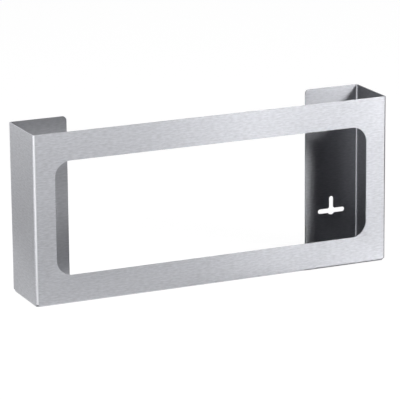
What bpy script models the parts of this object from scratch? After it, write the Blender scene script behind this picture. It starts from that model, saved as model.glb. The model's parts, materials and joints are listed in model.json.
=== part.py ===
"""Wall holder for boxes of disposable gloves, folded from one blank of brushed stainless sheet.

The sheet runs as one band: left ear, left side, front panel, right side, right ear. Both ears lie flat on the
wall and hang on screws through their keyholes. The front panel has a large window, through which gloves are
pulled. Ledges folded in along the foot of the front and of both sides carry the boxes, which drop in from
above. The front faces -Y, the wall is at +Y, and the origin is at the middle of the underside.
"""

import math

import bmesh
import bpy
from mathutils import Matrix, Vector

# Driving dimensions, in metres and outside the sheet unless a comment says otherwise
WIDTH = 0.400
HEIGHT = 0.180
DEPTH = 0.067
SHEET = 0.0012
BEND_INSIDE_RADIUS = 0.0015
EAR_WIDTH = 0.063
EAR_CORNER_RADIUS = 0.0045
LEDGE_DEPTH = 0.040
LEDGE_GAP = 0.0006  # along the foot, from a fold's tangent line to the start of a ledge
WINDOW_SIDE_BAND = 0.0235
WINDOW_TOP_BAND = 0.030
WINDOW_FOOT_BAND = 0.030
WINDOW_CORNER_RADIUS = 0.017
KEYHOLE_HEIGHT = 0.043  # from the underside to the middle of the screw head's hole
KEYHOLE_HEAD_DIAMETER = 0.009
KEYHOLE_SLOT_WIDTH = 0.005
KEYHOLE_SLOT_REACH = 0.016  # from the middle of the hole to the end of each slot
RELIEF_SLOT_WIDTH = 0.0016
RELIEF_SLOT_TOP = 0.0040  # above the underside

# Smoothness of the round stretches
BEND_STEPS = 10
EAR_CORNER_STEPS = 6
WINDOW_CORNER_STEPS = 14
KEYHOLE_STEPS = 8
RELIEF_STEPS = 4

# How far a cutter stands proud of the sheet that it cuts
CUTTER_MARGIN = 0.004

# How close two places are when they count as one
MERGE_DISTANCE = 1e-6
SAME_PLACE = SHEET / 4

# Edges that turn by more than this are drawn sharp
SHARP_ANGLE = math.radians(30)

# Worked out from the sizes above
BEND_RADIUS = BEND_INSIDE_RADIUS + SHEET  # outside radius of every fold, and the height of the band's foot
BAND_FOOT = BEND_RADIUS
LEFT = -WIDTH / 2
RIGHT = WIDTH / 2
FRONT = -DEPTH / 2
REAR = DEPTH / 2
REAR_RELIEF = LEDGE_GAP + RELIEF_SLOT_WIDTH + LEDGE_GAP  # foot left without a ledge in front of a rear fold
SIDE_LEDGE_LENGTH = DEPTH - 2 * BEND_RADIUS - REAR_RELIEF - LEDGE_GAP
FRONT_LEDGE_LENGTH = WIDTH - 2 * BEND_RADIUS - 2 * LEDGE_GAP
LEDGE_FLAT = LEDGE_DEPTH - BEND_RADIUS
QUARTER_TURN = math.pi / 2

X_AXIS = Vector((1, 0, 0))
Y_AXIS = Vector((0, 1, 0))
Z_AXIS = Vector((0, 0, 1))


def clear_scene():
    for obj in list(bpy.data.objects):
        bpy.data.objects.remove(obj, do_unlink=True)


def brushed_steel():
    material = bpy.data.materials.new("brushed_steel")
    material.use_nodes = True
    shader = material.node_tree.nodes["Principled BSDF"]
    shader.inputs["Base Color"].default_value = (0.60, 0.61, 0.63, 1)
    shader.inputs["Metallic"].default_value = 1.0
    shader.inputs["Roughness"].default_value = 0.35
    return material


def grow(mesh, end, move):
    """Extrude the end face of the sheet by a 4x4 matrix. Returns the new end face."""
    grown = bmesh.ops.extrude_face_region(mesh, geom=[end, *end.edges])["geom"]
    new_end = next(item for item in grown if isinstance(item, bmesh.types.BMFace))
    bmesh.ops.transform(mesh, matrix=move, verts=new_end.verts[:])
    return new_end


def run_straight(mesh, end, direction, length):
    return grow(mesh, end, Matrix.Translation(direction * length))


def fold(mesh, end, centre, axis):
    """Carry the end face a quarter turn round the centre of a fold, in equal steps."""
    step = Matrix.Rotation(QUARTER_TURN / BEND_STEPS, 4, axis)
    about_centre = Matrix.Translation(centre) @ step @ Matrix.Translation(-centre)
    for _ in range(BEND_STEPS):
        end = grow(mesh, end, about_centre)
    return end


def sheet_start(mesh):
    """The free end of the left ear: a face as wide as the sheet is thick and as tall as the band."""
    free_end = LEFT + EAR_WIDTH
    corners = (
        (free_end, REAR - SHEET, BAND_FOOT),
        (free_end, REAR, BAND_FOOT),
        (free_end, REAR, HEIGHT),
        (free_end, REAR - SHEET, HEIGHT),
    )
    return mesh.faces.new([mesh.verts.new(corner) for corner in corners])


def side_wall(mesh, end, direction):
    """A side, from its rear fold forwards or the other way. Its ledge needs a stretch of foot of its own."""
    stretches = [REAR_RELIEF, SIDE_LEDGE_LENGTH, LEDGE_GAP]
    if direction.y > 0:
        stretches.reverse()
    for stretch in stretches:
        end = run_straight(mesh, end, direction, stretch)
    return end


def front_panel(mesh, end):
    for stretch in (LEDGE_GAP, FRONT_LEDGE_LENGTH, LEDGE_GAP):
        end = run_straight(mesh, end, X_AXIS, stretch)
    return end


def band(mesh):
    """The whole band of sheet, drawn out and folded from the left ear's free end to the right ear's."""
    ear_flat = EAR_WIDTH - BEND_RADIUS
    left_centre = LEFT + BEND_RADIUS
    right_centre = RIGHT - BEND_RADIUS
    front_centre = FRONT + BEND_RADIUS
    rear_centre = REAR - BEND_RADIUS
    end = sheet_start(mesh)
    end = run_straight(mesh, end, -X_AXIS, ear_flat)
    end = fold(mesh, end, Vector((left_centre, rear_centre, 0)), Z_AXIS)
    end = side_wall(mesh, end, -Y_AXIS)
    end = fold(mesh, end, Vector((left_centre, front_centre, 0)), Z_AXIS)
    end = front_panel(mesh, end)
    end = fold(mesh, end, Vector((right_centre, front_centre, 0)), Z_AXIS)
    end = side_wall(mesh, end, Y_AXIS)
    end = fold(mesh, end, Vector((right_centre, rear_centre, 0)), Z_AXIS)
    run_straight(mesh, end, -X_AXIS, ear_flat)


def foot_face(mesh, near):
    """The face of the band's foot whose middle lies nearest to a point."""
    feet = [face for face in mesh.faces if all(vert.co.z < BAND_FOOT + SAME_PLACE for vert in face.verts)]
    return min(feet, key=lambda face: (face.calc_center_median() - near).length)


def mitre(end, along):
    """Draw a ledge's free edge in at 45 degrees, at the end or ends of the ledge that meet another ledge."""
    for corner in end.verts:
        corner.co += along(corner.co) * LEDGE_FLAT


def front_ledge(mesh):
    foot = foot_face(mesh, Vector((0, FRONT + SHEET / 2, BAND_FOOT)))
    end = fold(mesh, foot, Vector((0, FRONT + BEND_RADIUS, BEND_RADIUS)), X_AXIS)
    end = run_straight(mesh, end, Y_AXIS, LEDGE_FLAT)
    mitre(end, lambda place: X_AXIS * (-1 if place.x > 0 else 1))


def side_ledge(mesh, side):
    """The ledge of the left side (-1) or the right side (1). Only its front end is mitred."""
    ledge_middle = FRONT + BEND_RADIUS + LEDGE_GAP + SIDE_LEDGE_LENGTH / 2
    foot = foot_face(mesh, Vector((side * (RIGHT - SHEET / 2), ledge_middle, BAND_FOOT)))
    end = fold(mesh, foot, Vector((side * (RIGHT - BEND_RADIUS), 0, BEND_RADIUS)), Y_AXIS * side)
    end = run_straight(mesh, end, -X_AXIS * side, LEDGE_FLAT)
    mitre(end, lambda place: Y_AXIS * (1 if place.y < ledge_middle else 0))


def on_ear_end(vert):
    """Whether a vertex lies on the free end of either ear."""
    off_end = abs(abs(vert.co.x) - (RIGHT - EAR_WIDTH))
    return off_end < SAME_PLACE and vert.co.y > REAR - SHEET - SAME_PLACE


def round_ear_corners(mesh):
    """Round the top and bottom corners of both ears' free ends."""
    corners = []
    for edge in mesh.edges:
        first, second = edge.verts
        runs_level = abs(first.co.z - second.co.z) < SAME_PLACE
        if runs_level and on_ear_end(first) and on_ear_end(second):
            corners.append(edge)
    bmesh.ops.bevel(
        mesh,
        geom=corners,
        offset=EAR_CORNER_RADIUS,
        segments=EAR_CORNER_STEPS,
        profile=0.5,
        affect="EDGES",
    )


def rounded_outline(width, height, radius, steps):
    """Points of a rounded rectangle about (0, 0). With a radius of half its height it is a slot or a circle."""
    points = []
    for quarter, (side_x, side_y) in enumerate(((1, 1), (-1, 1), (-1, -1), (1, -1))):
        centre_x = side_x * (width / 2 - radius)
        centre_y = side_y * (height / 2 - radius)
        for step in range(steps + 1):
            angle = (quarter + step / steps) * QUARTER_TURN
            points.append((centre_x + radius * math.cos(angle), centre_y + radius * math.sin(angle)))
    return points


def cutter(collection, name, outline, centre, normal):
    """A prism with this outline, whose axis is the normal, X or Y, through the sheet at the centre."""
    across = Z_AXIS.cross(normal)
    length = SHEET + 2 * CUTTER_MARGIN
    mesh = bmesh.new()
    verts = [mesh.verts.new(centre + across * u + Z_AXIS * v - normal * length / 2) for u, v in outline]
    mesh.faces.new(verts)
    bmesh.ops.remove_doubles(mesh, verts=mesh.verts, dist=MERGE_DISTANCE)
    grow(mesh, mesh.faces[:][0], Matrix.Translation(normal * length))
    bmesh.ops.recalc_face_normals(mesh, faces=mesh.faces)
    data = bpy.data.meshes.new(name)
    mesh.to_mesh(data)
    mesh.free()
    obj = bpy.data.objects.new(name, data)
    obj.hide_render = True
    obj.display_type = "WIRE"
    collection.objects.link(obj)


def window_cutter(collection):
    width = WIDTH - 2 * WINDOW_SIDE_BAND
    height = HEIGHT - WINDOW_TOP_BAND - WINDOW_FOOT_BAND
    outline = rounded_outline(width, height, WINDOW_CORNER_RADIUS, WINDOW_CORNER_STEPS)
    centre = Vector((0, FRONT + SHEET / 2, WINDOW_FOOT_BAND + height / 2))
    cutter(collection, "window_cutter", outline, centre, Y_AXIS)


def keyhole_cutters(collection, side):
    """A round hole for the screw's head, a slot up from it and a cross slot, so the holder hangs either way."""
    name = "left_keyhole" if side < 0 else "right_keyhole"
    centre = Vector((side * (RIGHT - EAR_WIDTH / 2), REAR - SHEET / 2, KEYHOLE_HEIGHT))
    head_radius = KEYHOLE_HEAD_DIAMETER / 2
    head = rounded_outline(KEYHOLE_HEAD_DIAMETER, KEYHOLE_HEAD_DIAMETER, head_radius, KEYHOLE_STEPS)
    end_radius = KEYHOLE_SLOT_WIDTH / 2
    rise = rounded_outline(KEYHOLE_SLOT_WIDTH, KEYHOLE_SLOT_REACH + end_radius, end_radius, KEYHOLE_STEPS)
    cross = rounded_outline(2 * KEYHOLE_SLOT_REACH, KEYHOLE_SLOT_WIDTH, end_radius, KEYHOLE_STEPS)
    rise_centre = centre + Z_AXIS * (KEYHOLE_SLOT_REACH - end_radius) / 2
    cutter(collection, name + "_head_cutter", head, centre, Y_AXIS)
    cutter(collection, name + "_rise_cutter", rise, rise_centre, Y_AXIS)
    cutter(collection, name + "_cross_cutter", cross, centre, Y_AXIS)


def relief_cutter(collection, side):
    """The slot that keeps the side ledge's fold from tearing the rear fold. It opens at the foot."""
    name = "left_relief_cutter" if side < 0 else "right_relief_cutter"
    height = RELIEF_SLOT_TOP - BAND_FOOT + CUTTER_MARGIN
    outline = rounded_outline(RELIEF_SLOT_WIDTH, height, RELIEF_SLOT_WIDTH / 2, RELIEF_STEPS)
    slot_y = REAR - BEND_RADIUS - LEDGE_GAP - RELIEF_SLOT_WIDTH / 2
    centre = Vector((side * (RIGHT - SHEET / 2), slot_y, RELIEF_SLOT_TOP - height / 2))
    cutter(collection, name, outline, centre, X_AXIS)


def cutters():
    collection = bpy.data.collections.new("cut_outs")
    bpy.context.scene.collection.children.link(collection)
    collection.hide_render = True
    window_cutter(collection)
    for side in (-1, 1):
        keyhole_cutters(collection, side)
        relief_cutter(collection, side)
    return collection


def holder(cut_outs):
    mesh = bmesh.new()
    band(mesh)
    bmesh.ops.recalc_face_normals(mesh, faces=mesh.faces)
    front_ledge(mesh)
    for side in (-1, 1):
        side_ledge(mesh, side)
    round_ear_corners(mesh)
    bmesh.ops.recalc_face_normals(mesh, faces=mesh.faces)
    data = bpy.data.meshes.new("holder")
    mesh.to_mesh(data)
    mesh.free()
    data.shade_smooth()
    data.set_sharp_from_angle(angle=SHARP_ANGLE)
    data.materials.append(brushed_steel())
    obj = bpy.data.objects.new("holder", data)
    bpy.context.scene.collection.objects.link(obj)
    cut = obj.modifiers.new("cut_outs", "BOOLEAN")
    cut.operation = "DIFFERENCE"
    cut.solver = "EXACT"
    cut.operand_type = "COLLECTION"
    cut.collection = cut_outs
    flat_shading = obj.modifiers.new("flat_shading", "WEIGHTED_NORMAL")
    flat_shading.keep_sharp = True
    return obj


clear_scene()
holder(cutters())
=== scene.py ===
"""Wall holder for boxes of disposable gloves, folded from one blank of brushed stainless sheet."""

import json
import math

import bmesh
import bpy
from mathutils import Matrix, Vector

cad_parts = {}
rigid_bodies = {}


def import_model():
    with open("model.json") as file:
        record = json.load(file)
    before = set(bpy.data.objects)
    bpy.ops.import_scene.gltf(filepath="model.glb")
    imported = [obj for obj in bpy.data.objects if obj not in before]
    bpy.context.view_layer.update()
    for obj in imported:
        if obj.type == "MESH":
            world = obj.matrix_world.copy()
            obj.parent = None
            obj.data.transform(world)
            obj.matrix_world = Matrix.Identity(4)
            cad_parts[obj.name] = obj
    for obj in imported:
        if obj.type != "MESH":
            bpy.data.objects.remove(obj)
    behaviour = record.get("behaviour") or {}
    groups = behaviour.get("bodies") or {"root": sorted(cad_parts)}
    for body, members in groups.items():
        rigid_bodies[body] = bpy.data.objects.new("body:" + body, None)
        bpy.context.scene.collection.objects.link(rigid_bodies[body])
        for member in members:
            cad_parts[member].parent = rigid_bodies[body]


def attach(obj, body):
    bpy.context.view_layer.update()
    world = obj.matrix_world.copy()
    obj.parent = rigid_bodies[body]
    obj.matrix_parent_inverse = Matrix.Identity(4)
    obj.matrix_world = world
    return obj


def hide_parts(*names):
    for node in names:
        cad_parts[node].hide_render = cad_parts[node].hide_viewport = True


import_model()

for leftover in [obj for obj in bpy.data.objects if obj.name in ("Cube", "Light", "Camera")]:
    bpy.data.objects.remove(leftover)
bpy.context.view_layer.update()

# The blank: one flat piece of 1.2 mm brushed stainless sheet, laser cut to its outline. Here it
# lies in the plane of the front panel, with the sides and ears beyond both ends of the panel and
# the three ledges below. It is drawn as the sheet's middle layer and gets its thickness later.
half_width = 0.200
height = 0.180
depth = 0.067
sheet = 0.0012
fold_radius = 0.0027  # outside radius of every fold
fold_steps = 14
ear_width = 0.063
ear_corner_radius = 0.0045
ear_corner_steps = 8
ledge_depth = 0.040
ledge_gap = 0.0006
relief_width = 0.0016
tiny = 1e-5  # places closer than this are the same place

front_y = -depth / 2
rear_y = depth / 2
layer_y = front_y + sheet / 2
foot_z = fold_radius
layer_radius = fold_radius - sheet / 2
fold_turn = math.pi / 2 / fold_steps
chord = 2 * layer_radius * math.sin(fold_turn / 2)
fold_length = fold_steps * chord  # what one fold takes up of the flat blank

front_reach = half_width - fold_radius - ledge_gap
relief_stretch = ledge_gap + relief_width + ledge_gap
side_ledge_length = depth - 2 * fold_radius - ledge_gap - relief_stretch
ledge_flat = ledge_depth - fold_radius
ear_flat = ear_width - fold_radius


def select_where(test):
    """Select the vertices that pass a test, and the edges and faces between them, in edit mode."""
    bpy.ops.mesh.select_all(action="DESELECT")
    mesh = bmesh.from_edit_mesh(bpy.context.object.data)
    for vert in mesh.verts:
        if test(vert):
            vert.select_set(True)
    mesh.select_flush(True)
    bmesh.update_edit_mesh(bpy.context.object.data)


def extrude(value):
    bpy.ops.mesh.extrude_region_move(TRANSFORM_OT_translate={"value": value})


bpy.ops.object.select_all(action="DESELECT")
bpy.ops.mesh.primitive_plane_add(size=1, rotation=(math.pi / 2, 0, 0))
holder = bpy.context.object
holder.name = "folded_sheet"
holder.scale = (front_reach, height - foot_z, 1)
holder.location = (front_reach / 2, layer_y, (height + foot_z) / 2)
bpy.ops.object.transform_apply(location=True, rotation=True, scale=True)

# half of the blank grows outwards from its middle, strip by strip, with the lines of each fold
bpy.ops.object.mode_set(mode="EDIT")
strips = [ledge_gap] + [chord] * fold_steps + [ledge_gap, side_ledge_length, relief_stretch]
strips += [chord] * fold_steps + [ear_flat]
reach = front_reach
lines_x = []  # the blank's upright lines, from the ledge gap outwards
for strip in strips:
    select_where(lambda vert: vert.co.x > reach - tiny)
    extrude((strip, 0, 0))
    lines_x.append(reach)
    reach += strip
side_fold_x = lines_x[1]
side_ledge_x = lines_x[2 + fold_steps]
ear_fold_x = lines_x[4 + fold_steps]


# the outlines of the ledges hang below the foot, with 45 degree mitres where two of them meet
def on_ledge_foot(vert):
    along = abs(vert.co.x)
    on_side = side_ledge_x - tiny < along < side_ledge_x + side_ledge_length + tiny
    return vert.co.z < foot_z + tiny and (along < front_reach + tiny or on_side)


select_where(on_ledge_foot)
for _ in range(fold_steps):
    extrude((0, 0, -chord))
extrude((0, 0, -ledge_flat))
ledge_end_z = foot_z - fold_length - ledge_flat
for corner_x, mitre in ((front_reach, -ledge_flat), (side_ledge_x, ledge_flat)):
    select_where(lambda vert: vert.co.z < ledge_end_z + tiny and abs(vert.co.x - corner_x) < tiny)
    bpy.ops.transform.translate(value=(mitre, 0, 0))

# the two outer corners of the ear are rounded, and the other half is the mirror image
select_where(lambda vert: vert.co.x > reach - tiny)
bpy.ops.mesh.bevel(affect="VERTICES", offset=ear_corner_radius, segments=ear_corner_steps)
bpy.ops.object.mode_set(mode="OBJECT")

mirror = holder.modifiers.new("other_half", "MIRROR")
mirror.merge_threshold = tiny
bpy.ops.object.modifier_apply(modifier="other_half")

# the grain of the sheet is mapped in the flat, in metres, so that it follows every fold afterwards
flat_map = holder.data.uv_layers.active or holder.data.uv_layers.new()
flat_map.name = "flat_blank"
for loop in holder.data.loops:
    place = holder.data.vertices[loop.vertex_index].co
    flat_map.data[loop.index].uv = (place.x, place.z)

# The folds: a press brake bends the cold sheet by a quarter turn at each fold, first the ledges,
# then the ears and last the sides. Every fold is turned a little at each of its lines, from the
# outermost line inwards, so that it ends as one even round bend.
flat = [vert.co.copy() for vert in holder.data.vertices]


def turn_beyond(test, angle, axis, pivot):
    """Turn all that lies beyond a line of the flat blank about that line."""
    select_where(lambda vert: test(flat[vert.index]))
    bpy.ops.transform.rotate(value=angle, orient_axis=axis, center_override=pivot)


bpy.ops.object.mode_set(mode="EDIT")
line_turns = [fold_turn / 2] + [fold_turn] * (fold_steps - 1) + [fold_turn / 2]
for line in reversed(range(fold_steps + 1)):
    line_z = foot_z - line * chord
    turn_beyond(
        lambda place: place.z < line_z - tiny,
        -line_turns[line],
        "X",
        (0, layer_y, line_z),
    )
for fold_x in (ear_fold_x, side_fold_x):
    for line in reversed(range(fold_steps + 1)):
        line_x = fold_x + line * chord
        for side in (1, -1):
            turn_beyond(
                lambda place: place.x * side > line_x + tiny,
                -side * line_turns[line],
                "Z",
                (side * line_x, layer_y, 0),
            )
bpy.ops.object.mode_set(mode="OBJECT")

# The finish: the mill brushed both faces of the sheet with one fine straight grain, lengthways.
# The outer face is slightly smoother than the inner one, whose darker tone is painted shade for the
# holder's inside, and the laser has left the cut edges bare, without grain. The colours are those
# of stainless steel, a little bluish.


def new_material(name):
    material = bpy.data.materials.new(name)
    material.use_nodes = True
    material.node_tree.nodes.clear()
    return material


def add_node(tree, kind, **settings):
    node = tree.nodes.new(kind)
    for setting, value in settings.items():
        setattr(node, setting, value)
    return node


def link(tree, source, target):
    tree.links.new(source, target)


# grain: fine scratches 17 mm long, shorter and broader marks among them, and slow clouds from
# handling, each given by its repeats in a metre along the grain and across it
noise_low = 0.30  # the noise hardly leaves the range between these two, which becomes 0 to 1
noise_high = 0.70
grain = bpy.data.node_groups.new("brush_grain", "ShaderNodeTree")
grain.interface.new_socket("Vector", in_out="INPUT", socket_type="NodeSocketVector")
for name in ("Fine", "Streaks", "Clouds"):
    grain.interface.new_socket(name, in_out="OUTPUT", socket_type="NodeSocketFloat")
grain_in = add_node(grain, "NodeGroupInput")
grain_out = add_node(grain, "NodeGroupOutput")
for name, repeats_along, repeats_across, detail in (
    ("Fine", 60.0, 1500.0, 3.0),
    ("Streaks", 185.0, 680.0, 3.0),
    ("Clouds", 9.0, 22.0, 2.0),
):
    drawn_out = add_node(grain, "ShaderNodeMapping")
    drawn_out.inputs["Scale"].default_value = (repeats_along, repeats_across, 1)
    noise = add_node(grain, "ShaderNodeTexNoise", noise_dimensions="2D")
    noise.inputs["Scale"].default_value = 1
    noise.inputs["Detail"].default_value = detail
    spread = add_node(grain, "ShaderNodeMapRange")
    spread.inputs["From Min"].default_value = noise_low
    spread.inputs["From Max"].default_value = noise_high
    link(grain, grain_in.outputs["Vector"], drawn_out.inputs["Vector"])
    link(grain, drawn_out.outputs["Vector"], noise.inputs["Vector"])
    link(grain, noise.outputs["Fac"], spread.inputs["Value"])
    link(grain, spread.outputs["Result"], grain_out.inputs[name])

# painted highlight: the front's left fold and both folds of the ears get a lighter tone where the
# light catches them. The bright line lies at its crest, a share of the fold's length, and softens
# from its core to its edge.
highlight_core = 0.55
fold_highlight = bpy.data.node_groups.new("painted_fold_highlight", "ShaderNodeTree")
fold_highlight.interface.new_socket("Vector", in_out="INPUT", socket_type="NodeSocketVector")
fold_highlight.interface.new_socket("Half Width", in_out="INPUT", socket_type="NodeSocketFloat")
fold_highlight.interface.new_socket("Fold", in_out="OUTPUT", socket_type="NodeSocketFloat")
highlight_in = add_node(fold_highlight, "NodeGroupInput")
highlight_out = add_node(fold_highlight, "NodeGroupOutput")
split = add_node(fold_highlight, "ShaderNodeSeparateXYZ")
link(fold_highlight, highlight_in.outputs["Vector"], split.inputs["Vector"])
highlit = None
for side, fold_x, crest, breadth in (
    (-1, side_fold_x, 0.17, 1),
    (-1, ear_fold_x, 0.38, 1.4),
    (1, ear_fold_x, 0.38, 1.4),
):
    off = add_node(fold_highlight, "ShaderNodeMath", operation="SUBTRACT")
    off.inputs[1].default_value = side * (fold_x + fold_length * crest)
    away = add_node(fold_highlight, "ShaderNodeMath", operation="ABSOLUTE")
    half_widths_away = add_node(fold_highlight, "ShaderNodeMath", operation="DIVIDE")
    band = add_node(fold_highlight, "ShaderNodeMapRange", interpolation_type="SMOOTHSTEP")
    band.inputs["From Min"].default_value = breadth
    band.inputs["From Max"].default_value = breadth * highlight_core
    either = add_node(fold_highlight, "ShaderNodeMath", operation="MAXIMUM")
    either.inputs[1].default_value = 0
    link(fold_highlight, split.outputs["X"], off.inputs[0])
    link(fold_highlight, off.outputs["Value"], away.inputs[0])
    link(fold_highlight, away.outputs["Value"], half_widths_away.inputs[0])
    link(fold_highlight, highlight_in.outputs["Half Width"], half_widths_away.inputs[1])
    link(fold_highlight, half_widths_away.outputs["Value"], band.inputs["Value"])
    link(fold_highlight, band.outputs["Result"], either.inputs[0])
    if highlit:
        link(fold_highlight, highlit, either.inputs[1])
    highlit = either.outputs["Value"]
link(fold_highlight, highlit, highlight_out.inputs["Fold"])

quarter_turn = 0.25  # of the gloss, which a brushed face draws out across its grain
fine_share = 0.35
streak_share = 0.65
scratch_relief = 0.3
scratch_depth = 0.00002
# the painted highlight along the folds: its half width and its lighter tone
highlight_half_width = fold_length * 0.26
painted_highlight_tone = (0.96, 0.965, 1.0, 1)


def brushed_material(name, one_way_gloss, smoothest, roughest, dark_tone, light_tone):
    """One brushed face of the sheet. Its scratches vary its tone, its clouds the roughness, and a
    lighter painted highlight lies along three of its folds.
    """
    material = new_material(name)
    tree = material.node_tree
    output = add_node(tree, "ShaderNodeOutputMaterial")
    shader = add_node(tree, "ShaderNodeBsdfPrincipled")
    shader.inputs["Metallic"].default_value = 1
    shader.inputs["Anisotropic"].default_value = one_way_gloss
    shader.inputs["Anisotropic Rotation"].default_value = quarter_turn
    sheet_map = add_node(tree, "ShaderNodeUVMap", uv_map="flat_blank")
    along_grain = add_node(tree, "ShaderNodeTangent", direction_type="UV_MAP", uv_map="flat_blank")
    scratches = add_node(tree, "ShaderNodeGroup")
    scratches.node_tree = grain
    streaks = add_node(tree, "ShaderNodeMath", operation="MULTIPLY")
    streaks.inputs[1].default_value = streak_share
    both = add_node(tree, "ShaderNodeMath", operation="MULTIPLY_ADD")
    both.inputs[1].default_value = fine_share
    tone = add_node(tree, "ShaderNodeMix", data_type="RGBA")
    tone.inputs["A"].default_value = dark_tone
    tone.inputs["B"].default_value = light_tone
    folds = add_node(tree, "ShaderNodeGroup")
    folds.node_tree = fold_highlight
    folds.inputs["Half Width"].default_value = highlight_half_width
    # painted highlight: a lighter tone mixed in along the crests of the folds
    highlight = add_node(tree, "ShaderNodeMix", data_type="RGBA")
    highlight.inputs["B"].default_value = painted_highlight_tone
    rough = add_node(tree, "ShaderNodeMapRange")
    rough.inputs["To Min"].default_value = smoothest
    rough.inputs["To Max"].default_value = roughest
    bump = add_node(tree, "ShaderNodeBump")
    bump.inputs["Strength"].default_value = scratch_relief
    bump.inputs["Distance"].default_value = scratch_depth
    link(tree, sheet_map.outputs["UV"], scratches.inputs["Vector"])
    link(tree, scratches.outputs["Streaks"], streaks.inputs[0])
    link(tree, scratches.outputs["Fine"], both.inputs[0])
    link(tree, streaks.outputs["Value"], both.inputs[2])
    link(tree, both.outputs["Value"], tone.inputs["Factor"])
    link(tree, sheet_map.outputs["UV"], folds.inputs["Vector"])
    link(tree, folds.outputs["Fold"], highlight.inputs["Factor"])
    link(tree, tone.outputs["Result"], highlight.inputs["A"])
    link(tree, highlight.outputs["Result"], shader.inputs["Base Color"])
    link(tree, scratches.outputs["Clouds"], rough.inputs["Value"])
    link(tree, rough.outputs["Result"], shader.inputs["Roughness"])
    link(tree, scratches.outputs["Fine"], bump.inputs["Height"])
    link(tree, bump.outputs["Normal"], shader.inputs["Normal"])
    link(tree, along_grain.outputs["Tangent"], shader.inputs["Tangent"])
    link(tree, shader.outputs["BSDF"], output.inputs["Surface"])
    return material


brushed_face = brushed_material(
    "brushed_face",
    one_way_gloss=0.95,
    smoothest=0.34,
    roughest=0.37,
    dark_tone=(0.529, 0.536, 0.568, 1),
    light_tone=(0.684, 0.692, 0.733, 1),
)
# the inner face is darker in tone than the outer one: painted shade for the holder's inside
brushed_inside_painted_shade = brushed_material(
    "brushed_inside_painted_shade",
    one_way_gloss=1.0,
    smoothest=0.36,
    roughest=0.40,
    dark_tone=(0.393, 0.398, 0.422, 1),
    light_tone=(0.497, 0.502, 0.533, 1),
)

# the laser leaves fine ripples on a cut edge, about half a millimetre apart
cut_edge = new_material("cut_edge")
tree = cut_edge.node_tree
output = add_node(tree, "ShaderNodeOutputMaterial")
shader = add_node(tree, "ShaderNodeBsdfPrincipled")
shader.inputs["Metallic"].default_value = 1
on_object = add_node(tree, "ShaderNodeTexCoord")
ripple = add_node(tree, "ShaderNodeTexNoise")
ripple.inputs["Scale"].default_value = 1800
ripple.inputs["Detail"].default_value = 3
tone = add_node(tree, "ShaderNodeMix", data_type="RGBA")
tone.inputs["A"].default_value = (0.455, 0.461, 0.489, 1)
tone.inputs["B"].default_value = (0.615, 0.622, 0.66, 1)
rough = add_node(tree, "ShaderNodeMapRange")
rough.inputs["To Min"].default_value = 0.32
rough.inputs["To Max"].default_value = 0.48
link(tree, on_object.outputs["Object"], ripple.inputs["Vector"])
link(tree, ripple.outputs["Fac"], tone.inputs["Factor"])
link(tree, ripple.outputs["Fac"], rough.inputs["Value"])
link(tree, tone.outputs["Result"], shader.inputs["Base Color"])
link(tree, rough.outputs["Result"], shader.inputs["Roughness"])
link(tree, shader.outputs["BSDF"], output.inputs["Surface"])

# the sheet gets its thickness: the first finish outside, the second on its rim, the third inside
for finish in (brushed_face, cut_edge, brushed_inside_painted_shade):
    holder.data.materials.append(finish)
thickness = holder.modifiers.new("thickness", "SOLIDIFY")
thickness.thickness = sheet
thickness.offset = 0
thickness.use_even_offset = True
thickness.material_offset_rim = 1
thickness.material_offset = 2
bpy.ops.object.modifier_apply(modifier="thickness")

# The cut-outs: a laser cuts the window that the gloves are pulled through, a T-shaped keyhole in
# each ear for the head and the neck of a wall screw, and a slot in each side that lets the rear
# fold bend freely. Here they are punched through the folded sheet, and their walls are cut edges.
window_side_band = 0.0235
window_top_band = 0.030
window_foot_band = 0.030
window_corner_radius = 0.017
window_corner_steps = 24
keyhole_z = 0.043
keyhole_x = half_width - ear_width / 2
keyhole_head_radius = 0.0045
keyhole_head_sides = 48
slot_width = 0.005
slot_reach = 0.016
slot_end_steps = 10
relief_top = 0.004
relief_end_steps = 6
past = 0.004  # how far a punch stands proud of the sheet
slot_end = 0.9999  # share of a slot's half width in its end's radius, just short of a sliver edge
same_corner = 1e-6  # corners closer than this become one
across_side, across_front = 0, 1  # the axes that a punch goes through the sheet along, X and Y

punches = bpy.data.collections.new("punches")
bpy.context.scene.collection.children.link(punches)


def keep_as_punch():
    punch = bpy.context.object
    for owner in list(punch.users_collection):
        owner.objects.unlink(punch)
    punches.objects.link(punch)
    punch.data.materials.append(cut_edge)


def block_punch(size, centre, through, corner_radius, corner_steps):
    """A block whose four edges along the punching axis are rounded, which makes a slot too."""
    bpy.ops.object.select_all(action="DESELECT")
    bpy.ops.mesh.primitive_cube_add(size=1, location=centre)
    bpy.context.object.scale = size
    bpy.ops.object.transform_apply(location=True, rotation=True, scale=True)
    bpy.ops.object.mode_set(mode="EDIT")
    bpy.ops.mesh.select_mode(type="EDGE")
    bpy.ops.mesh.select_all(action="DESELECT")
    mesh = bmesh.from_edit_mesh(bpy.context.object.data)
    for edge in mesh.edges:
        run = edge.verts[0].co - edge.verts[1].co
        if abs(run[through]) > tiny:
            edge.select_set(True)
    bmesh.update_edit_mesh(bpy.context.object.data)
    bpy.ops.mesh.bevel(offset=corner_radius, segments=corner_steps)
    bpy.ops.mesh.select_all(action="SELECT")
    bpy.ops.mesh.remove_doubles(threshold=same_corner)
    bpy.ops.mesh.select_mode(type="VERT")
    bpy.ops.object.mode_set(mode="OBJECT")
    keep_as_punch()


through_sheet = sheet + 2 * past
window_width = 2 * (half_width - window_side_band)
window_height = height - window_top_band - window_foot_band
window_z = (height - window_top_band + window_foot_band) / 2
block_punch(
    (window_width, through_sheet, window_height),
    (0, layer_y, window_z),
    across_front,
    window_corner_radius,
    window_corner_steps,
)

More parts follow.
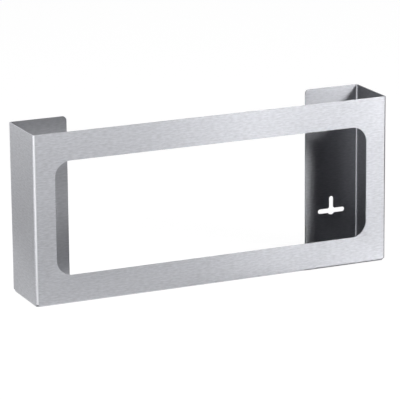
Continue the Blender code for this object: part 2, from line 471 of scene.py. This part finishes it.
ear_y = rear_y - sheet / 2
neck_end_radius = slot_width / 2
neck_height = slot_reach + neck_end_radius
relief_y = rear_y - fold_radius - ledge_gap - relief_width / 2
relief_height = relief_top - foot_z + past
for side in (1, -1):
    key_x = side * keyhole_x
    bpy.ops.object.select_all(action="DESELECT")
    bpy.ops.mesh.primitive_cylinder_add(
        vertices=keyhole_head_sides,
        radius=keyhole_head_radius,
        depth=through_sheet,
        location=(key_x, ear_y, keyhole_z),
        rotation=(math.pi / 2, 0, 0),
    )
    bpy.ops.object.transform_apply(location=True, rotation=True, scale=True)
    keep_as_punch()
    block_punch(
        (slot_width, through_sheet, neck_height),
        (key_x, ear_y, keyhole_z + slot_reach - neck_height / 2),
        across_front,
        neck_end_radius * slot_end,
        slot_end_steps,
    )
    block_punch(
        (2 * slot_reach, through_sheet, slot_width),
        (key_x, ear_y, keyhole_z),
        across_front,
        neck_end_radius * slot_end,
        slot_end_steps,
    )
    block_punch(
        (through_sheet, relief_width, relief_height),
        (side * (half_width - sheet / 2), relief_y, relief_top - relief_height / 2),
        across_side,
        relief_width / 2 * slot_end,
        relief_end_steps,
    )

bpy.ops.object.select_all(action="DESELECT")
bpy.context.view_layer.objects.active = holder
holder.select_set(True)
punching = holder.modifiers.new("punching", "BOOLEAN")
punching.operation = "DIFFERENCE"
punching.solver = "EXACT"
punching.operand_type = "COLLECTION"
punching.collection = punches
punching.material_mode = "TRANSFER"
bpy.ops.object.modifier_apply(modifier="punching")
for punch in list(punches.objects):
    bpy.data.objects.remove(punch)
bpy.data.collections.remove(punches)

# The edges: every sharp rim of the steel sheet is deburred, so that it tears no glove and cuts no
# finger. That leaves a rounding of 0.15 mm, which catches a thin line of light. The holder is
# then finished, and hangs on the wall by its ears.
deburr_width = 0.00015
deburr_steps = 2
sharp_rim = math.radians(50)
sharp_shading = math.radians(40)

deburr = holder.modifiers.new("deburr", "BEVEL")
deburr.width = deburr_width
deburr.segments = deburr_steps
deburr.limit_method = "ANGLE"
deburr.angle_limit = sharp_rim
bpy.ops.object.modifier_apply(modifier="deburr")

# where the rounding meets a fold it stands a few thousandths of a millimetre proud: filed flush
for vert in holder.data.vertices:
    vert.co.x = max(-half_width, min(half_width, vert.co.x))
    vert.co.y = max(front_y, min(rear_y, vert.co.y))

bpy.ops.object.shade_smooth_by_angle(angle=sharp_shading)
flat_shading = holder.modifiers.new("flat_shading", "WEIGHTED_NORMAL")
flat_shading.keep_sharp = True
bpy.ops.object.modifier_apply(modifier="flat_shading")

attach(holder, "root")
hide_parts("holder")

# The studio, which is no part of the holder: white paper below it and a dark room around it.
# Glowing panels and floor cards stand where softboxes and reflectors would. The brushed metal
# shows them blurred, and is brightest where it faces the big softbox at the front right.


def stage_plane(name, size, location, rotation, material):
    bpy.ops.object.select_all(action="DESELECT")
    bpy.ops.mesh.primitive_plane_add(size=1, location=location, rotation=rotation)
    plane = bpy.context.object
    plane.name = name
    plane.scale = (size[0], size[1], 1)
    plane.data.materials.append(material)
    return plane


def looked_at(tree):
    """1 where the camera, a reflection or glass looks, and 0 for the light on other things."""
    rays = add_node(tree, "ShaderNodeLightPath")
    camera_or_gloss = add_node(tree, "ShaderNodeMath", operation="MAXIMUM")
    or_glass = add_node(tree, "ShaderNodeMath", operation="MAXIMUM")
    link(tree, rays.outputs["Is Camera Ray"], camera_or_gloss.inputs[0])
    link(tree, rays.outputs["Is Glossy Ray"], camera_or_gloss.inputs[1])
    link(tree, camera_or_gloss.outputs["Value"], or_glass.inputs[0])
    link(tree, rays.outputs["Is Transmission Ray"], or_glass.inputs[1])
    return or_glass.outputs["Value"]


# looked at, the paper is mostly its own white glow, and the rest of it shows the holder's shadow.
# From below it can be seen through.
paper_size = 12
paper_drop = 0.0004
paper_tone = (0.86, 0.86, 0.87, 1)
paper_glow = 1.13
glow_share = 0.85
white = new_material("white_sweep")
tree = white.node_tree
output = add_node(tree, "ShaderNodeOutputMaterial")
paper = add_node(tree, "ShaderNodeBsdfDiffuse")
paper.inputs["Color"].default_value = paper_tone
glow = add_node(tree, "ShaderNodeEmission")
glow.inputs["Color"].default_value = (1, 1, 1, 1)
glow.inputs["Strength"].default_value = paper_glow
glowing = add_node(tree, "ShaderNodeMath", operation="MULTIPLY")
glowing.inputs[1].default_value = glow_share
blend = add_node(tree, "ShaderNodeMixShader")
from_which_side = add_node(tree, "ShaderNodeNewGeometry")
nothing = add_node(tree, "ShaderNodeBsdfTransparent")
see_through = add_node(tree, "ShaderNodeMixShader")
link(tree, looked_at(tree), glowing.inputs[0])
link(tree, glowing.outputs["Value"], blend.inputs["Fac"])
link(tree, paper.outputs["BSDF"], blend.inputs[1])
link(tree, glow.outputs["Emission"], blend.inputs[2])
link(tree, from_which_side.outputs["Backfacing"], see_through.inputs["Fac"])
link(tree, blend.outputs["Shader"], see_through.inputs[1])
link(tree, nothing.outputs["BSDF"], see_through.inputs[2])
link(tree, see_through.outputs["Shader"], output.inputs["Surface"])
stage_plane("floor", (paper_size, paper_size), (0, 0, -paper_drop), (0, 0, 0), white)

black = new_material("black_cloth")
tree = black.node_tree
output = add_node(tree, "ShaderNodeOutputMaterial")
cloth = add_node(tree, "ShaderNodeBsdfDiffuse")
cloth.inputs["Color"].default_value = (0.03, 0.03, 0.03, 1)
link(tree, cloth.outputs["BSDF"], output.inputs["Surface"])


def unseen(plane):
    """The metal sees this, the camera and the shadows don't."""
    plane.visible_camera = False
    plane.visible_shadow = False


def round_from_front(azimuth, elevation, distance):
    """A point around the holder. Azimuth 0 is straight in front and 90 to the right."""
    a, e = math.radians(azimuth), math.radians(elevation)
    towards = Vector((math.sin(a) * math.cos(e), -math.cos(a) * math.cos(e), math.sin(e)))
    return towards * distance


def softbox(name, azimuth, elevation, distance, size, strength, falloff):
    """A glowing panel that faces the holder. Away from its middle it loses a share, the falloff."""
    at = round_from_front(azimuth, elevation, distance)
    material = new_material(name)
    tree = material.node_tree
    output = add_node(tree, "ShaderNodeOutputMaterial")
    glow = add_node(tree, "ShaderNodeEmission")
    on_panel = add_node(tree, "ShaderNodeTexCoord")
    centred = add_node(tree, "ShaderNodeMapping")
    centred.inputs["Location"].default_value = (-1, -1, 0)
    centred.inputs["Scale"].default_value = (2, 2, 0)
    dome = add_node(tree, "ShaderNodeTexGradient", gradient_type="QUADRATIC_SPHERE")
    brightness = add_node(tree, "ShaderNodeMapRange")
    brightness.inputs["To Min"].default_value = strength * (1 - falloff)
    brightness.inputs["To Max"].default_value = strength
    link(tree, on_panel.outputs["UV"], centred.inputs["Vector"])
    link(tree, centred.outputs["Vector"], dome.inputs["Vector"])
    link(tree, dome.outputs["Fac"], brightness.inputs["Value"])
    link(tree, brightness.outputs["Result"], glow.inputs["Strength"])
    link(tree, glow.outputs["Emission"], output.inputs["Surface"])
    unseen(stage_plane(name, size, at, at.to_track_quat("Z", "Y").to_euler(), material))


softbox("key_softbox", 37, 31, 1.8, (0.58, 0.62), strength=17.6, falloff=0.5)
softbox("key_wing", 45.5, 10, 1.8, (0.9, 0.5), strength=6.2, falloff=0.5)
softbox("centre_panel", 14, 64, 1.6, (0.6, 0.5), strength=4.8, falloff=0.2)
softbox("fill_panel", -8, 40, 1.6, (0.4, 0.7), strength=1.2, falloff=0.2)
softbox("left_wrap_front", -31, 50, 1.6, (0.8, 0.7), strength=1.2, falloff=0.2)
softbox("left_wrap_middle", -61, 30, 1.6, (0.85, 0.9), strength=3.2, falloff=0.2)
softbox("left_wrap_rear", -92, 24, 1.6, (0.85, 0.9), strength=1.6, falloff=0.2)
softbox("rear_panel", 214, 24, 1.6, (1.2, 0.9), strength=0.33, falloff=0.2)
softbox("right_panel", 104, 20, 1.6, (1.6, 0.9), strength=1.65, falloff=0.2)
softbox("back_panel", 158, 24, 1.8, (1.9, 1.1), strength=1.6, falloff=0.2)


def floor_card(name, low, high, strength, lift=0.0001, right_strength=None):
    """A glowing card on the floor between two corners. Two strengths fade from left to right."""
    size = (high[0] - low[0], high[1] - low[1])
    middle = ((low[0] + high[0]) / 2, (low[1] + high[1]) / 2, lift)
    material = new_material(name)
    tree = material.node_tree
    output = add_node(tree, "ShaderNodeOutputMaterial")
    glow = add_node(tree, "ShaderNodeEmission")
    glow.inputs["Strength"].default_value = strength
    if right_strength:
        on_card = add_node(tree, "ShaderNodeTexCoord")
        left_to_right = add_node(tree, "ShaderNodeSeparateXYZ")
        brightness = add_node(tree, "ShaderNodeMapRange")
        brightness.inputs["To Min"].default_value = strength
        brightness.inputs["To Max"].default_value = right_strength
        link(tree, on_card.outputs["UV"], left_to_right.inputs["Vector"])
        link(tree, left_to_right.outputs["X"], brightness.inputs["Value"])
        link(tree, brightness.outputs["Result"], glow.inputs["Strength"])
    link(tree, glow.outputs["Emission"], output.inputs["Surface"])
    unseen(stage_plane(name, size, middle, (0, 0, 0), material))


middle_lift = 0.0002
top_lift = 0.0003
floor_card("far_card", (0.02, -1.9), (0.38, -0.52), 2.0)
floor_card("near_card", (-0.24, -0.34), (0.34, -0.10), 0.64)
floor_card("foot_card_left", (-0.24, -0.10), (-0.02, -0.034), 0.99, top_lift, 0.60)
floor_card("foot_card_right", (-0.02, -0.10), (0.34, -0.034), 0.53, top_lift, 0.88)
floor_card("fold_card", (-1.0, -1.6), (-0.26, -0.44), 2.5)
floor_card("corner_card", (-0.31, -0.22), (-0.205, -0.06), 1.2, middle_lift)
floor_card("side_card", (-0.27, -0.05), (-0.201, 0.12), 0.83)
floor_card("rear_card", (-0.6, 0.13), (-0.265, 0.48), 0.4)

# black cloth on the floor to the right, with its near left corner beside the holder
cloth_turn = math.radians(-26)
cloth_size = 5.0
cloth_corner = Vector((0.205, -0.24, middle_lift))
across = Vector((math.cos(cloth_turn), -math.sin(cloth_turn), 0))
cloth_middle = cloth_corner + across * cloth_size / 2
unseen(
    stage_plane(
        "black_cloth", (cloth_size, cloth_size), cloth_middle, (0, 0, -cloth_turn), black
    )
)

# the floor right under the folds lies in their own shade
shade_strength = 0.35
floor_card("front_shade", (-0.2, -0.0323), (0.2, -0.024), shade_strength, 0.0)
floor_card("left_shade", (-0.2, -0.024), (-0.19, 0.03), shade_strength, 0.0)
floor_card("right_shade", (0.19, -0.024), (0.2, 0.03), shade_strength, 0.0)

room_size = 8
room_floor_z = -0.02
bpy.ops.object.select_all(action="DESELECT")
bpy.ops.mesh.primitive_cube_add(size=room_size, location=(0, 0, room_floor_z + room_size / 2))
room = bpy.context.object
room.name = "dark_room"
room.data.materials.append(black)
unseen(room)

# soft white light from all around, which is full white where it is looked at
air_light = 0.6
air_white = 1.0
world = bpy.data.worlds.new("studio")
bpy.context.scene.world = world
world.use_nodes = True
tree = world.node_tree
tree.nodes.clear()
output = add_node(tree, "ShaderNodeOutputWorld")
air = add_node(tree, "ShaderNodeBackground")
air.inputs["Color"].default_value = (1, 1, 1, 1)
air_level = add_node(tree, "ShaderNodeMapRange")
air_level.inputs["To Min"].default_value = air_light
air_level.inputs["To Max"].default_value = air_white
link(tree, looked_at(tree), air_level.inputs["Value"])
link(tree, air_level.outputs["Result"], air.inputs["Strength"])
link(tree, air.outputs["Background"], output.inputs["Surface"])

# The camera stands where the photograph was taken: 2.9 m away, 24 degrees to the left of the
# front and 15 degrees above it, level but for half a degree. Its long lens keeps the upright
# folds almost parallel.
camera_place = (-1.1557, -2.57322, 0.83533)
turned_right = math.radians(24.1531)
tilted_up = math.radians(90 - 14.95)  # from looking straight down
rolled_right = math.radians(0.492)
lens = bpy.data.cameras.new("camera")
lens.sensor_width = 36
lens.lens = 251.06
camera = bpy.data.objects.new("camera", lens)
bpy.context.scene.collection.objects.link(camera)
camera.matrix_world = (
    Matrix.Translation(camera_place)
    @ Matrix.Rotation(-turned_right, 4, "Z")
    @ Matrix.Rotation(tilted_up, 4, "X")
    @ Matrix.Rotation(-rolled_right, 4, "Z")
)
bpy.context.scene.camera = camera
bpy.context.scene.view_settings.view_transform = "Standard"
